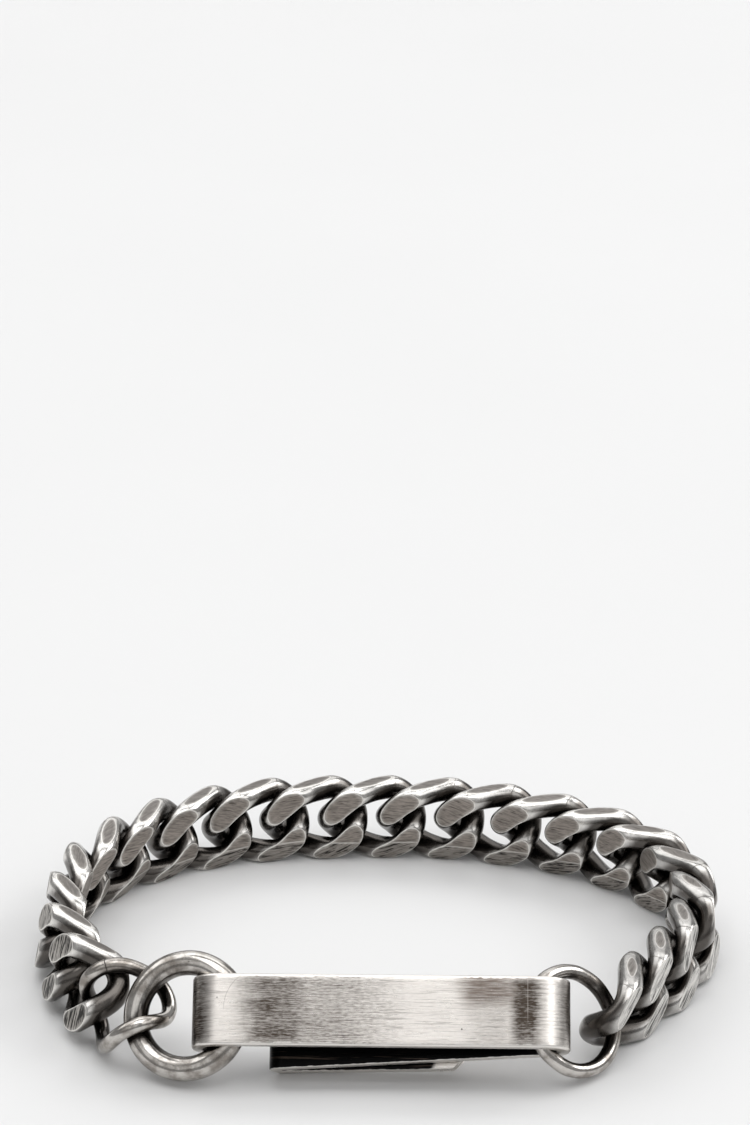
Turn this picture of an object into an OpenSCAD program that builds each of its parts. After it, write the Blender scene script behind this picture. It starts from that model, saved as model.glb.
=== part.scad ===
// Chain bracelet, closed, standing on its edge.
// Twenty filed curb links, a plain end link, two rings and a folded clasp strip, each one solid.
// Z is up, everything stands on z = 0, and the origin is at the middle of the loop's footprint.

/* [Chain] */
// Distance from one link to the next along the chain
link_pitch = 6.7; // [6.6:0.05:6.8]
// Diameter of the links' wire
link_wire = 2.7; // [2.5:0.05:2.75]
// Slack between the wires where two links hook
link_slack = 0.4; // [0.35:0.05:0.45]
// Height of the chain across its filed edges
chain_height = 9.3; // [9:0.05:9.5]
// Metal filed off the top and off the bottom of each link
edge_filing = 0.25; // [0.1:0.05:0.4]
// Thickness of the chain between its inner and its outer filed faces
chain_thickness = 4.4; // [4.3:0.1:4.8]
// Half of the straight part of a link's sides
link_straight = 2; // [1:0.1:2.2]
// Turn of a link's bend about the chain's axis, at either end
link_twist = 50; // [46:1:52]
// Height up to which the lower inner edge is filed off at a slant
slant_height = 2.5; // [1:0.1:3]
// Angle between that slant and the upright
slant_angle = 22; // [10:1:26]

/* [Loop] */
// Where the first filed link hooks into the end link, in plan
loop_start = [-29.45, -15.2];
// Direction of the first filed link, in degrees from the X axis
loop_heading = 118.5; // [118:0.5:119.5]

/* [End link] */
// Diameter of the end link's wire
end_wire = 1.6; // [1.4:0.1:1.8]
// Half length of the end link along its wire's centreline
end_half_length = 5.2; // [5.15:0.05:5.3]
// Half width of the end link along its wire's centreline
end_half_width = 4.35; // [4.3:0.05:4.4]
// Turn of its bends about its own axis
end_twist = 62; // [61:1:63]

/* [Rings] */
// Outer diameter of the ring that the end link and the hook hold
big_ring_diameter = 13.7; // [13.6:0.05:13.8]
// Wire of that ring
big_ring_wire = 2.6; // [2.5:0.05:2.65]
// Outer diameter of the ring that the last filed link and the right fold hold
small_ring_diameter = 12.2; // [12:0.05:12.4]
// Wire of that ring
small_ring_wire = 1.6; // [1.5:0.05:1.7]

/* [Clasp] */
// Length of the clasp from fold to fold
clasp_length = 39.3; // [38.5:0.1:40]
// Width of the clasp strip, which stands nearly upright
clasp_width = 7.5; // [7:0.1:8]
// Thickness of the strip
clasp_thickness = 1.3; // [1.1:0.1:1.4]
// Depth of the hook at the left end, over the metal
hook_depth = 6; // [5.9:0.1:6.2]
// Length of the hook's straight rear leg
hook_leg = 1.6; // [1:0.1:3]
// Depth of the right fold, over the metal
fold_depth = 5.8; // [5.7:0.1:6]
// Depth of the spring's hairpin bend, over the metal
hairpin_depth = 3.1; // [3:0.1:3.4]
// Distance from the clasp's left end to the hairpin
hairpin_inset = 8; // [7.5:0.1:9]
// Length of the spring's free rear leg
rear_leg = 19.8; // [12:0.1:22]

/* [Hidden] */
link_count = 20;

// How the filed links lie, in degrees. Each row is [turn from the link before, clockwise from above,
// lean of the link's top towards the inside of the loop].
link_rows = [
    [0, 18], [13, 13.8], [16, 11], [16, 7], [20, 8], [14, 4], [15, 0], [13, -3], [8, -3], [3, -1],
    [6, 2], [9, 2], [9, 6], [8, 4], [16, 0], [22, 1], [22, 2], [22, 4], [9, -1], [3, -7]
];
// Rise of a link's middle when the link leans this much or more
lean_rise = 0.27;
full_rise_lean = 10;

function link_name(i) = str("link_", i < 10 ? "0" : "", i);

// A link's wire before filing, measured to its centreline
link_half_length = (link_pitch + link_wire + link_slack) / 2;
link_half_width = (chain_height + 2 * edge_filing - link_wire) / 2;
// Half of the straight part of the end link's sides
end_straight = 0.65;
// Where the end link, the rings and the clasp lie, in mm and degrees
end_centre = [-26.75, -17.8, 5.2];
end_turns = [43.8, 6.1, 137.8];
big_ring_centre = [-19.88, -21, 6.26];
big_ring_lean = 38.6;
big_ring_turn = -18.9;
small_ring_centre = [20.45, -20.7, 5.42];
small_ring_lean = 38;
small_ring_turn = 46;
clasp_corner = [-19.33, -26.5, 6.25];
clasp_lean = 43;
clasp_turn = -1;
// How far the spring's tongue and its rear leg come down at their ends
tongue_drop = 1.6;
rear_drop = 1.2;
// Corner cut off the spring's tip, and the bevel along the strip's edges
tip_chamfer = 2;
strip_bevel = 0.2;
// Sides of the links' wire, sections along it, and sides and sections of the rings
wire_sides = 6;
link_stations = 24;
end_stations = 24;
ring_sides = 48;
ring_stations = 96;
// A little over the true radius, because the links' wire has flat sides
roundness = 1.01;
// Degrees from one section to the next in the strip's bends
bend_step = 15;
silver = "silver";

// Direction of filed link i, and the hook where it starts
function link_heading(i) = i <= 1 ? loop_heading : link_heading(i - 1) - link_rows[i - 1][0];
function link_start(i) = i <= 1 ? loop_start
    : link_start(i - 1) + link_pitch * direction(link_heading(i - 1));
function direction(a) = [cos(a), sin(a)];

// Point at a part u of the way round an oval with straight sides and half-elliptic ends.
// The way starts at the middle of the upper side. The result is [x along, r across].
function oval_point(half_length, half_width, straight, u) =
    let(end = half_length - straight)
    let(bend_way = PI * (end + half_width) / 4)
    let(quarter = straight + bend_way)
    let(way = 4 * quarter * u)
    let(side = way < quarter || way > 3 * quarter ? 1 : -1)
    let(run = way < quarter ? way : way < 3 * quarter ? 2 * quarter - way : way - 4 * quarter)
    let(bend = (abs(run) - straight) / bend_way * 90)
    bend <= 0 ? [run, side * half_width]
        : [sign(run) * (straight + end * sin(bend)), side * half_width * cos(bend)];

// The same oval twisted about the x axis, by twist at its ends and not at all at its middle
function twisted_oval(half_length, half_width, straight, twist, count) = [
    for (k = [0:count - 1])
        let(p = oval_point(half_length, half_width, straight, k / count))
        let(turn = twist * p.x / half_length)
        [p.x, p.y * sin(turn), p.y * cos(turn)]
];

function unit(v) = v / norm(v);

// Section of a round wire at point p of a loop, square to its tangent t
function wire_section(p, t, radius) =
    let(outward = unit(p - t * (p * t)))
    let(sideways = cross(t, outward))
    [for (j = [0:wire_sides - 1]) p + radius
        * (cos(360 * j / wire_sides) * outward + sin(360 * j / wire_sides) * sideways)];

// Closed loop of wire along a list of points round the origin
module wire_loop(points, diameter) {
    n = len(points);
    radius = diameter / 2 * roundness;
    sections = [for (i = [0:n - 1])
        wire_section(points[i], unit(points[(i + 1) % n] - points[(i + n - 1) % n]), radius)];
    polyhedron(
        points = [for (s = sections) for (p = s) p],
        faces = [for (i = [0:n - 1]) for (j = [0:wire_sides - 1])
            let(a = i * wire_sides, b = (i + 1) % n * wire_sides, k = (j + 1) % wire_sides)
            for (f = [[a + j, b + k, a + k], [a + j, b + j, b + k]]) f]);
}

// Curb link: twisted wire, filed flat on its faces and edges, and at a slant below on the inside
module filed_link() {
    line = twisted_oval(link_half_length, link_half_width, link_straight, link_twist, link_stations);
    difference() {
        intersection() {
            wire_loop(line, link_wire);
            cube([3 * link_pitch, chain_thickness, chain_height], center = true);
        }
        translate([0, -chain_thickness / 2, slant_height - chain_height / 2])
            rotate([slant_angle, 0, 0])
                translate([-2 * link_pitch, -chain_thickness, -2 * chain_height])
                    cube([4 * link_pitch, chain_thickness, 2 * chain_height]);
    }
}

// Filed link i in its place on the loop
module chain_link(i) {
    middle = link_start(i) + link_pitch / 2 * direction(link_heading(i));
    lean = link_rows[i - 1][1];
    rise = lean_rise * min(1, abs(lean) / full_rise_lean);
    color(silver)
        translate([middle.x, middle.y, chain_height / 2 + rise])
            rotate([lean, 0, link_heading(i)])
                filed_link();
}

// Plain end link, leaning inward between the first filed link and the big ring
module end_link() {
    color(silver)
        translate(end_centre)
            rotate(end_turns)
                wire_loop(twisted_oval(end_half_length, end_half_width, end_straight, end_twist, end_stations),
                    end_wire);
}

// Ring leaning back and turned about the upright
module leaning_ring(diameter, wire, centre, lean, turn) {
    translate(centre)
        rotate([90 - lean, 0, turn])
            rotate_extrude($fn = ring_stations)
                translate([(diameter - wire) / 2, 0])
                    circle(d = wire, $fn = ring_sides);
}

module big_ring() {
    color(silver)
        leaning_ring(big_ring_diameter, big_ring_wire,
            big_ring_centre, big_ring_lean, big_ring_turn);
}

module small_ring() {
    color(silver)
        leaning_ring(small_ring_diameter, small_ring_wire,
            small_ring_centre, small_ring_lean, small_ring_turn);
}

// The clasp strip's way seen along its width, from the hook's tip to the spring's tip.
// Each row is [straight length, turn that follows it, turn's radius, drop at the row's end].
hook_radius = (hook_depth - clasp_thickness) / 2;
fold_radius = (fold_depth - clasp_thickness) / 2;
hairpin_radius = (hairpin_depth - clasp_thickness) / 2;
plate_length = clasp_length - (hook_depth + fold_depth) / 2;
tongue_length = clasp_length - fold_depth / 2 - hairpin_inset - hairpin_depth / 2;
clasp_way = [
    [hook_leg, 180, hook_radius, 0],
    [plate_length, 180, fold_radius, 0],
    [tongue_length, -180, hairpin_radius, tongue_drop],
    [rear_leg, 0, 0, rear_drop]
];
clasp_way_start = [hook_depth / 2 + hook_leg, hook_depth - clasp_thickness / 2];

// Stations along the way after point p, as [x, depth, heading, drop]
function way_stations(row, p, heading, drop) =
    row >= len(clasp_way) ? [] :
    let(turn = clasp_way[row][1], radius = sign(turn) * clasp_way[row][2], new_drop = clasp_way[row][3])
    let(q = p + clasp_way[row][0] * direction(heading))
    let(middle = q + radius * direction(heading + 90))
    let(steps = abs(turn) / bend_step)
    let(arc = [for (k = [1:steps]) let(a = heading + turn * k / steps)
        let(s = middle - radius * direction(a + 90)) [s.x, s.y, a, new_drop]])
    let(last = middle - radius * direction(heading + turn + 90))
    concat([[q.x, q.y, heading, new_drop]], arc, way_stations(row + 1, last, heading + turn, new_drop));

// Strip of clasp_width carried along the stations, with bevelled edges
module bent_strip(stations) {
    t = clasp_thickness / 2;
    b = strip_bevel;
    w = clasp_width;
    section = [[-t, b], [b - t, 0], [t - b, 0], [t, b], [t, w - b], [t - b, w], [b - t, w], [-t, w - b]];
    m = len(section);
    last = len(stations) - 1;
    polyhedron(
        points = [for (s = stations) for (c = section)
            let(p = [s.x, s.y] + c.x * direction(s[2] + 90)) [p.x, p.y, c.y - s[3]]],
        faces = concat(
            [[for (j = [0:m - 1]) j], [for (j = [0:m - 1]) last * m + m - 1 - j]],
            [for (i = [0:last - 1]) for (j = [0:m - 1])
                let(a = i * m, c = i * m + m, k = (j + 1) % m)
                for (f = [[a + j, c + j, c + k], [a + j, c + k, a + k]]) f]));
}

// Front plate, hook, right fold and spring, all one strip that leans back
module clasp_strip() {
    first = [clasp_way_start.x, clasp_way_start.y, 180, 0];
    // Lower corner of the spring's tip, from the hairpin's middle backwards
    tip = [
        hairpin_inset + hairpin_depth / 2 + rear_leg,
        fold_depth + hairpin_depth / 2 - clasp_thickness,
        -rear_drop
    ];
    cutter = tip_chamfer * sqrt(2);
    color(silver)
        translate(clasp_corner)
            rotate([-clasp_lean, 0, clasp_turn])
                difference() {
                    bent_strip(concat([first], way_stations(0, clasp_way_start, 180, 0)));
                    translate(tip)
                        rotate([0, 45, 0])
                            translate([-cutter / 2, 0, -cutter / 2])
                                cube([cutter, hairpin_depth, cutter]);
                }
}

clasp_strip();
big_ring();
small_ring();
end_link();
for (i = [1:link_count])
    chain_link(i);
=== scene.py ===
import math
import bpy
import numpy as np
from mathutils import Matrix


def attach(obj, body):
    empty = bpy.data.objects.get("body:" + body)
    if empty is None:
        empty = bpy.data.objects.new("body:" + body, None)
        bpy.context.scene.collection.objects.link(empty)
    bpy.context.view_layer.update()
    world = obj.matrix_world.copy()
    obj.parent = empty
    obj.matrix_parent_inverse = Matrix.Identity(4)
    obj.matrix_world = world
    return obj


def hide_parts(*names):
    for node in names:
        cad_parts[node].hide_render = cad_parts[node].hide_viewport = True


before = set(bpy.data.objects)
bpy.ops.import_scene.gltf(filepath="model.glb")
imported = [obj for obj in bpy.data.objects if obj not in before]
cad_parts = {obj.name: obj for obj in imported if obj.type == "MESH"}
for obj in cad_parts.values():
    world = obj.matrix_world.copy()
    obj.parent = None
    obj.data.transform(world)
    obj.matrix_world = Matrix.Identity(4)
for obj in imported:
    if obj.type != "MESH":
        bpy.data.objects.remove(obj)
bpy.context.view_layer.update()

millimetre = 0.001
noise = np.random.default_rng(seed=11)


# Meshes

# Turns about X, then Y, then Z, in degrees, as one matrix
def turnMatrix(x, y, z):
    a, b, c = np.radians([x, y, z])
    aboutX = np.array([[1, 0, 0], [0, np.cos(a), -np.sin(a)], [0, np.sin(a), np.cos(a)]])
    aboutY = np.array([[np.cos(b), 0, np.sin(b)], [0, 1, 0], [-np.sin(b), 0, np.cos(b)]])
    aboutZ = np.array([[np.cos(c), -np.sin(c), 0], [np.sin(c), np.cos(c), 0], [0, 0, 1]])
    return aboutZ @ aboutY @ aboutX


# Grid of points in mm, rows along and columns round, made a closed mesh. An open row of columns gets a
# cap at each end, and where the volume comes out negative the faces are turned round. Each attribute is
# three numbers a point.
def gridPiece(name, points, attributes, material, closedAlong=True):
    rows, columns = points.shape[:2]
    index = np.arange(rows * columns).reshape(rows, columns)
    nextRow = np.roll(index, -1, 0)
    quads = np.stack([index, nextRow, np.roll(nextRow, -1, 1), np.roll(index, -1, 1)], -1)
    quads = (quads if closedAlong else quads[:-1]).reshape(-1, 4)
    flat = points.reshape(-1, 3)
    a, b, c, d = (flat[quads[:, k]] for k in range(4))
    volume = (np.cross(a, b) * c).sum() + (np.cross(a, c) * d).sum()
    inward = volume < 0
    if inward:
        quads = quads[:, ::-1]
    corners, starts = quads.ravel(), np.arange(len(quads)) * 4
    if not closedAlong:
        caps = [index[0], index[-1][::-1]] if inward else [index[0][::-1], index[-1]]
        starts = np.append(starts, len(corners) + columns * np.arange(2))
        corners = np.concatenate([corners, *caps])
    mesh = bpy.data.meshes.new(name)
    mesh.vertices.add(len(flat))
    mesh.vertices.foreach_set("co", (flat * millimetre).astype(np.float32).ravel())
    mesh.loops.add(len(corners))
    mesh.loops.foreach_set("vertex_index", corners.astype(np.int32))
    mesh.polygons.add(len(starts))
    mesh.polygons.foreach_set("loop_start", starts.astype(np.int32))
    mesh.update(calc_edges=True)
    mesh.validate()
    mesh.shade_smooth()
    for label, values in attributes.items():
        data = mesh.attributes.new(label, "FLOAT_VECTOR", "POINT").data
        data.foreach_set("vector", values.reshape(-1, 3).astype(np.float32).ravel())
    piece = bpy.data.objects.new(name, mesh)
    bpy.context.scene.collection.objects.link(piece)
    mesh.materials.append(material)
    return piece


# Oval with straight sides and half-elliptic ends, twisted about its long axis. The way u starts at the
# middle of the upper side; the twist grows in proportion to the distance from the middle.
def twistedOval(u, halfLength, halfWidth, straight, twist):
    end = halfLength - straight
    bendWay = math.pi * (end + halfWidth) / 4
    quarter = straight + bendWay
    way = 4 * quarter * u
    side = np.where((way < quarter) | (way > 3 * quarter), 1, -1)
    run = np.where(way < quarter, way, np.where(way < 3 * quarter, 2 * quarter - way, way - 4 * quarter))
    bend = np.clip((np.abs(run) - straight) / bendWay, 0, 1) * math.pi / 2
    x = np.where(np.abs(run) < straight, run, np.sign(run) * (straight + end * np.sin(bend)))
    across = side * halfWidth * np.cos(bend)
    turn = np.radians(twist) * x / halfLength
    return np.stack([x, across * np.sin(turn), across * np.cos(turn)], -1)


# Round wire along a closed line: each section is a circle square to the line, its first spoke pointing
# away from the middle
def wireGrid(line, radius, columns):
    tangent = np.roll(line, -1, 0) - np.roll(line, 1, 0)
    tangent /= np.linalg.norm(tangent, axis=1, keepdims=True)
    outward = line - tangent * (line * tangent).sum(1, keepdims=True)
    outward /= np.linalg.norm(outward, axis=1, keepdims=True)
    sideways = np.cross(tangent, outward)
    angle = np.linspace(0, 2 * math.pi, columns, endpoint=False)[None, :, None]
    spokes = np.cos(angle) * outward[:, None] + np.sin(angle) * sideways[:, None]
    return line[:, None] + radius * spokes


# Gentle unevenness: a sum of a few sine waves of chance direction, length and start, 0 on average
def unevenness(points, depth, wavelength, waves=7, finer=(0.6, 1.6), anyPhase=(0, 6.3)):
    total = 0
    for k in range(waves):
        direction = noise.normal(size=3)
        direction *= 2 * math.pi / wavelength * noise.uniform(*finer) / np.linalg.norm(direction)
        total = total + np.sin(points @ direction + noise.uniform(*anyPhase))
    return total * depth / math.sqrt(waves)


# Smooth rise from 0 at low to 1 at high: three times the square less twice the cube of the share between
def smoothStep(low, high, x):
    t = np.clip((x - low) / (high - low), 0, 1)
    return t * t * (3 - 2 * t)


# How shut in each point is, from 0 in the open to about 1: at a few distances out along the normal, the
# share by which some near wire's surface is nearer than the point itself
def shutIn(points, normals, wireLines, reaches=(0.5, 1.1, 2.2), neighbourhood=12.0, farAway=9.0):
    middle = points.mean((0, 1))
    near = [wire for wire in wireLines if np.linalg.norm(wire[0].mean(0) - middle) < neighbourhood]
    total = 0
    for reach in reaches:
        probes = (points + normals * reach).reshape(-1, 3)
        gap = np.full(len(probes), farAway)
        for line, radius in near:
            square = (probes ** 2).sum(1)[:, None] + (line ** 2).sum(1)[None] - 2 * probes @ line.T
            gap = np.minimum(gap, np.sqrt(np.maximum(square.min(1), 0)) - radius)
        total = total + np.clip((reach - gap) / reach, 0, 1).reshape(points.shape[:2]) / len(reaches)
    return total


# Distance in mm from a point on a filed face to the face's edge, across a round wire of that radius.
# It is above 0 on the face and below 0 on the round wire outside. Facing is the cosine between the wire's
# own normal and the face's, past is how far the point lies outside the face's plane.
def edgeDistance(past, facing, radius):
    level = facing - past / radius
    half = np.sqrt(np.clip(1 - level ** 2, 0, None)) - np.sqrt(np.clip(level ** 2 - 1, 0, None))
    away = np.sqrt(np.clip(1 - facing ** 2, 0, None))
    return radius * (half - np.where(facing < 0, 2 - away, away))


# Shader nodes

nodeSpacing = (190, -170)    # between the columns and the rows of nodes in the editor
bumpDepth = 0.00002    # in metres


# New node at a column and row. Each value is a socket to link from, or a constant.
def addNode(tree, kind, place, values=None, **settings):
    node = tree.nodes.new(kind)
    node.location = (place[0] * nodeSpacing[0], place[1] * nodeSpacing[1])
    for key, value in settings.items():
        setattr(node, key, value)
    for key, value in (values or {}).items():
        if isinstance(value, bpy.types.NodeSocket):
            tree.links.new(value, node.inputs[key])
        else:
            node.inputs[key].default_value = value
    return node


def calculate(tree, place, operation, *values, **settings):
    values = dict(enumerate(values))
    return addNode(tree, "ShaderNodeMath", place, values, operation=operation, **settings).outputs[0]


# Value carried from one range to another, smoothly and held at the ends
def remap(tree, place, value, low, high, newLow=0.0, newHigh=1.0):
    values = {0: value, 1: low, 2: high, 3: newLow, 4: newHigh}
    return addNode(tree, "ShaderNodeMapRange", place, values, interpolation_type="SMOOTHSTEP").outputs[0]


# Cloudy noise between 0 and 1, about 0.5 on average
def cloudy(tree, place, where, scale, detail=2.0, roughness=0.5, distortion=0.0):
    values = {"Vector": where, "Scale": scale, "Detail": detail, "Roughness": roughness,
              "Distortion": distortion}
    return addNode(tree, "ShaderNodeTexNoise", place, values).outputs[0]


# Value moved to and fro by clouds, by half the amount at most
def movedBy(tree, place, clouds, amount, value):
    centred = calculate(tree, place, "SUBTRACT", clouds, 0.5)
    return calculate(tree, (place[0] + 1, place[1]), "MULTIPLY_ADD", centred, amount, value)


# The first colour where the share is 0, the second where it is 1
def blendColours(tree, place, share, first, second):
    values = {0: share, 6: first, 7: second}
    return addNode(tree, "ShaderNodeMix", place, values, data_type="RGBA").outputs[2]


def blendValues(tree, place, share, first, second):
    return addNode(tree, "ShaderNodeMix", place, {0: share, 2: first, 3: second}).outputs[0]


# Colour with another laid over it where a mask shows, at a strength
def layOver(tree, place, colour, over, mask, strength):
    share = calculate(tree, (place[0] - 1, place[1] + 2), "MULTIPLY", mask, strength)
    return blendColours(tree, place, share, colour, over)


# Colour made lighter or darker by a value
def shade(tree, place, colour, value):
    return addNode(tree, "ShaderNodeVectorMath", place, {0: colour, 3: value}, operation="SCALE").outputs[0]


# Full strength near a value, falling to 0 at the half width
def band(tree, place, value, middle, core, half, strength=1.0):
    apart = calculate(tree, place, "SUBTRACT", value, middle)
    apart = calculate(tree, (place[0] + 1, place[1]), "ABSOLUTE", apart)
    return remap(tree, (place[0] + 2, place[1]), apart, core, half, strength, 0.0)


# Group of nodes with named inputs and outputs. An input with no value is a vector, all others are floats.
def newGroup(name, inputs, outputs):
    tree = bpy.data.node_groups.new(name, "ShaderNodeTree")
    for label, value in inputs.items():
        kind = "NodeSocketVector" if value is None else "NodeSocketFloat"
        socket = tree.interface.new_socket(label, in_out="INPUT", socket_type=kind)
        if value is not None:
            socket.default_value = value
    for label in outputs:
        tree.interface.new_socket(label, in_out="OUTPUT", socket_type="NodeSocketFloat")
    source = addNode(tree, "NodeGroupInput", (-1, 0))
    target = addNode(tree, "NodeGroupOutput", (9, 0))
    return tree, source.outputs, target.inputs


# Strokes of a file or brush: noise drawn out along one direction, with a share of deeper strokes
def makeFileMarks():
    tree, given, result = newGroup("fileMarks", {
        "Along": 0.0, "Across": 0.0, "Seed": 0.0, "Turn": 0.0, "Fineness": 8.0, "Stretch": 0.08,
        "Deep share": 0.3}, ["Marks", "Deep"])
    where = {0: given["Along"], 1: given["Across"], 2: given["Seed"]}
    flat = addNode(tree, "ShaderNodeCombineXYZ", (0, 0), where).outputs[0]
    turned = addNode(tree, "ShaderNodeVectorRotate", (1, 0), {"Vector": flat, "Angle": given["Turn"]},
                     rotation_type="Z_AXIS").outputs[0]
    shrink = calculate(tree, (1, 1), "MULTIPLY", given["Fineness"], given["Stretch"])
    sizes = {0: shrink, 1: given["Fineness"], 2: 1.0}
    scale = addNode(tree, "ShaderNodeCombineXYZ", (2, 1), sizes).outputs[0]
    drawn = addNode(tree, "ShaderNodeVectorMath", (3, 0), {0: turned, 1: scale},
                    operation="MULTIPLY").outputs[0]
    fine = cloudy(tree, (4, 0), drawn, 1.0, 3.0, 0.6)
    wide = cloudy(tree, (4, 1), drawn, 0.6, 3.0, 0.6, 0.1)
    marks = remap(tree, (6, 0), fine, 0.3, 0.7)
    edge = calculate(tree, (5, 2), "MULTIPLY_ADD", given["Deep share"], -0.3, 0.68)
    top = calculate(tree, (6, 2), "ADD", edge, 0.06)
    tree.links.new(marks, result["Marks"])
    tree.links.new(remap(tree, (7, 1), wide, edge, top), result["Deep"])
    return tree


# Bright worn line along an edge: 1 where the distance to the edge is near nought, wider in some places
def makeWornRim():
    tree, given, result = newGroup("wornRim", {
        "Place": None, "Distance": 0.0, "Width": 0.1, "Core": 0.3}, ["Rim"])
    patches = cloudy(tree, (0, 1), given["Place"], 1.3, 3.0)
    spread = remap(tree, (1, 1), patches, 0.3, 0.7, 0.7, 1.3)
    width = calculate(tree, (2, 1), "MULTIPLY", given["Width"], spread)
    distance = calculate(tree, (1, 0), "ABSOLUTE", given["Distance"])
    share = calculate(tree, (3, 0), "DIVIDE", distance, width)
    tree.links.new(remap(tree, (4, 0), share, given["Core"], 1.0, 1.0, 0.0), result["Rim"])
    return tree


# Black patina left where no polishing reaches: how recessed a place is, shifted by cloudy noise
def makePatina():
    tree, given, result = newGroup("patina", {
        "Place": None, "Recess": 0.0, "Cloud size": 0.7, "Break up": 0.35}, ["Patina"])
    clouds = cloudy(tree, (0, 1), given["Place"], given["Cloud size"], 6.0, 0.66)
    moved = movedBy(tree, (1, 1), clouds, given["Break up"], given["Recess"])
    tree.links.new(remap(tree, (3, 0), moved, 0.22, 0.66), result["Patina"])
    return tree


# Small round pits: a few of the cells of a fine pattern have a dark dot in them
def makePits():
    tree, given, result = newGroup("pits", {
        "Place": None, "Density": 1.6, "Share": 0.25, "Size": 0.2}, ["Pits"])
    pattern = {"Vector": given["Place"], "Scale": given["Density"]}
    cells = addNode(tree, "ShaderNodeTexVoronoi", (0, 0), pattern).outputs
    chance = addNode(tree, "ShaderNodeSeparateColor", (1, 1), {0: cells["Color"]}).outputs
    picked = calculate(tree, (2, 1), "LESS_THAN", chance[0], given["Share"])
    size = calculate(tree, (2, 2), "MULTIPLY", given["Size"], chance[1])
    share = calculate(tree, (3, 0), "DIVIDE", cells["Distance"], size)
    dot = remap(tree, (4, 0), share, 0.5, 1.0, 1.0, 0.0)
    tree.links.new(calculate(tree, (5, 0), "MULTIPLY", dot, picked), result["Pits"])
    return tree


fileMarks, wornRim, patina, pits = makeFileMarks(), makeWornRim(), makePatina(), makePits()
print("shader groups made")


def useGroup(tree, group, place, values):
    return addNode(tree, "ShaderNodeGroup", place, values, node_tree=group).outputs


# Strokes along one way: all of them as marks, and the deeper ones
def strokes(tree, place, along, across, seed, turn, fineness, stretch, deepShare):
    return tuple(useGroup(tree, fileMarks, place, {
        "Along": along, "Across": across, "Seed": seed, "Turn": turn, "Fineness": fineness,
        "Stretch": stretch, "Deep share": deepShare}))


def newMaterial(name, roughness=0.3, metallic=1.0):
    material = bpy.data.materials.new(name)
    material.use_nodes = True
    tree = material.node_tree
    tree.nodes.clear()
    output = addNode(tree, "ShaderNodeOutputMaterial", (17, 0))
    shader = addNode(tree, "ShaderNodeBsdfPrincipled", (15.5, 0),
                     {"Roughness": roughness, "Metallic": metallic})
    tree.links.new(shader.outputs[0], output.inputs[0])
    return material, tree, shader


# An attribute of the mesh, as a vector and as its three numbers
def readAttribute(tree, place, name):
    vector = addNode(tree, "ShaderNodeAttribute", place, attribute_name=name).outputs["Vector"]
    parts = addNode(tree, "ShaderNodeSeparateXYZ", (place[0] + 1, place[1]), {0: vector}).outputs
    return vector, tuple(parts)


def joinShader(tree, shader, colour, rough, height, strength):
    bump = addNode(tree, "ShaderNodeBump", (14, 12),
                   {"Height": height, "Strength": strength, "Distance": bumpDepth})
    for key, value in (("Base Color", colour), ("Roughness", rough), ("Normal", bump.outputs[0])):
        tree.links.new(value, shader.inputs[key])


# Filed links

links = {    # in mm and degrees
    "pitch": 6.7, "wire": 2.7, "slack": 0.4, "height": 9.3, "filing": 0.25, "thickness": 4.4,
    "straight": 2.0, "twist": 50.0, "slantHeight": 2.5, "slantAngle": 22.0,
    "start": (-29.45, -15.2), "heading": 118.5,
    "turns": [0, 13, 16, 16, 20, 14, 15, 13, 8, 3, 6, 9, 9, 8, 16, 22, 22, 22, 9, 3],
    "leans": [18, 13.8, 11, 7, 8, 4, 0, -3, -3, -1, 2, 2, 6, 4, 0, 1, 2, 4, -1, -7],
    "leanRise": 0.27, "fullRiseLean": 10.0,
    "stations": 300, "columns": 72, "edgeRounding": 0.09, "faceTilt": 0.8,
    "handwork": 0.012, "handworkLength": 2.4,    # depth and length of the unevenness
    "lightTopsFrom": 17, "lightTops": 0.13,    # from this link on, the tops are filed so much less
    "recessShare": 0.9, "rubbedFrom": 16, "rubbedRecess": 0.76,    # the last links are rubbed brighter
    "wheelReach": 0.9, "wheelSpread": 0.6,    # depth that polishing reaches, and its power of the facing
    "seamAt": 2.75, "notchAt": -1.95, "solderAside": 0.5, "upperBar": 1.5,
    # chance differences between the links: shift of the pattern, and turn of the strokes in radians
    "patternShift": 40.0, "strokeSpread": 0.5,
    # worn lines along the edges: width, core and strength
    "thinRim": (0.13, 0.4, 0.75), "wideRim": (0.42, 0.0, 0.35), "ridgeRim": (0.14, 0.2, 0.55),
    "bare": (0.82, 0.80, 0.77, 1), "rim": (0.86, 0.84, 0.80, 1), "black": (0.105, 0.096, 0.088, 1),
    # for each kind of face: paint, then its strokes' turn, fineness, stretch and deep share, then how
    # strongly the fine and the deep strokes show
    "inner": ((0.255, 0.228, 0.205, 1), 0.07, 7.0, 0.12, 0.3, 0.6, 0.5),
    "slant": ((0.32, 0.295, 0.27, 1), -0.30, 6.0, 0.12, 0.5, 0.6, 0.85),
    "top": ((0.218, 0.202, 0.188, 1), -0.15, 7.0, 0.12, 0.25, 0.5, 0.35),
    "outer": ((0.40, 0.378, 0.352, 1), 0.08, 5.0, 0.10, 0.68, 0.6, 0.9),
    "rubbed": ((0.64, 0.625, 0.60, 1), 0.75, 5.5, 0.1, 0.5, 0.7, 0.8),
}


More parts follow.
